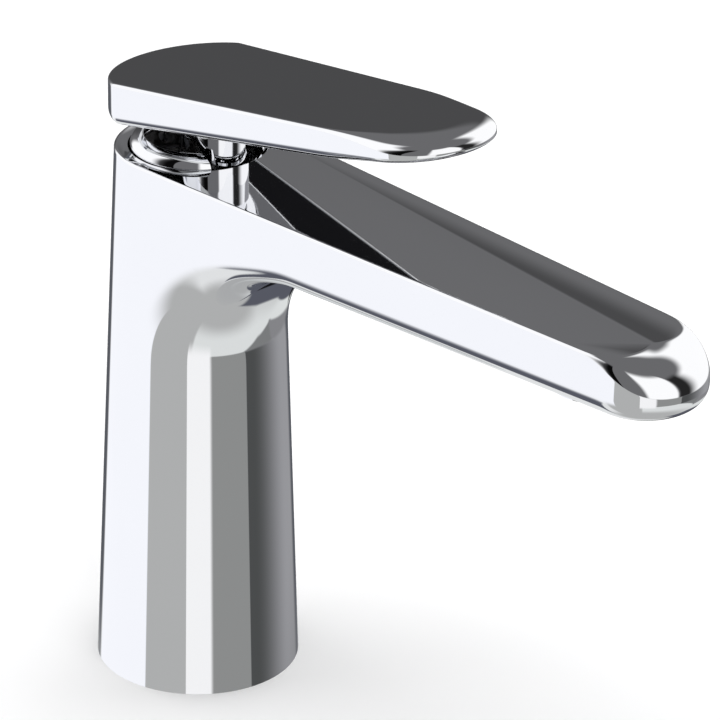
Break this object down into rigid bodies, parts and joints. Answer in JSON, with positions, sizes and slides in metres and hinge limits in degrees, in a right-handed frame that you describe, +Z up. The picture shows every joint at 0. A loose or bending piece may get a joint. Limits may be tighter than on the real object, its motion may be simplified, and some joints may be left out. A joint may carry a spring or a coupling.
{
  "type": "basin mixer faucet",
  "caption": "Lever basin mixer faucet: tapered round column, long flat-topped spout, flat paddle lever above a domed collar, and a ceramic cartridge inside.",
  "frame": {"origin": "centre of the base's underside, on the column's axis, at deck level", "axes": "+X along the spout towards its tip, +Z up the column, +Y to the left of someone looking along the spout"},
  "size_m": [0.1877, 0.05, 0.1697],
  "materials": {
    "chrome": "polished",
    "black_rubber": "matte",
    "cartridge_plastic": "satin",
    "turret_plastic": "satin",
    "white_ceramic": "polished",
    "steel": "satin",
    "brass": "machined",
    "dark_brass": "satin",
    "glide_plastic": "satin",
    "aerator_plastic": "satin",
    "regulator_rubber": "matte"
  },
  "bodies": {
    "faucet": {"faucet_body": "chrome", "base_gasket": "black_rubber", "cartridge_base": "cartridge_plastic", "port_seals": "black_rubber", "disc_seals": "black_rubber", "cartridge_housing": "cartridge_plastic", "fixed_ceramic_disc": "white_ceramic", "retaining_nut": "dark_brass", "dome_glide_ring": "glide_plastic", "aerator_housing": "chrome", "aerator_insert": "aerator_plastic", "aerator_inlet_screen": "aerator_plastic", "aerator_outlet_screen": "aerator_plastic", "flow_regulator": "regulator_rubber", "aerator_washer": "black_rubber"},
    "swivel": {"dome_cap": "chrome", "spindle_turret": "turret_plastic", "pivot_pin": "steel"},
    "lever": {"lever_handle": "chrome", "cartridge_spindle": "brass", "lever_set_screw": "steel"},
    "discs": {"moving_ceramic_disc": "white_ceramic", "disc_carrier": "turret_plastic"}
  },
  "joints": [
    {"name": "lever_swivel", "type": "hinge", "parent": "faucet", "child": "swivel", "pos_m": [0, 0, 0.122], "axis": [0, 0, 1], "range_deg": [-45, 45]},
    {"name": "lever_lift", "type": "hinge", "parent": "swivel", "child": "lever", "pos_m": [0, 0, 0.122], "axis": [0, -1, 0], "range_deg": [0, 20]},
    {"name": "disc_slide", "type": "slide", "parent": "swivel", "child": "discs", "axis": [1, 0, 0], "range_m": [0, 0.0053]}
  ],
  "couplings": [
    {"joint": "disc_slide", "follows": "lever_lift", "m_per_rad": 0.01491}
  ]
}
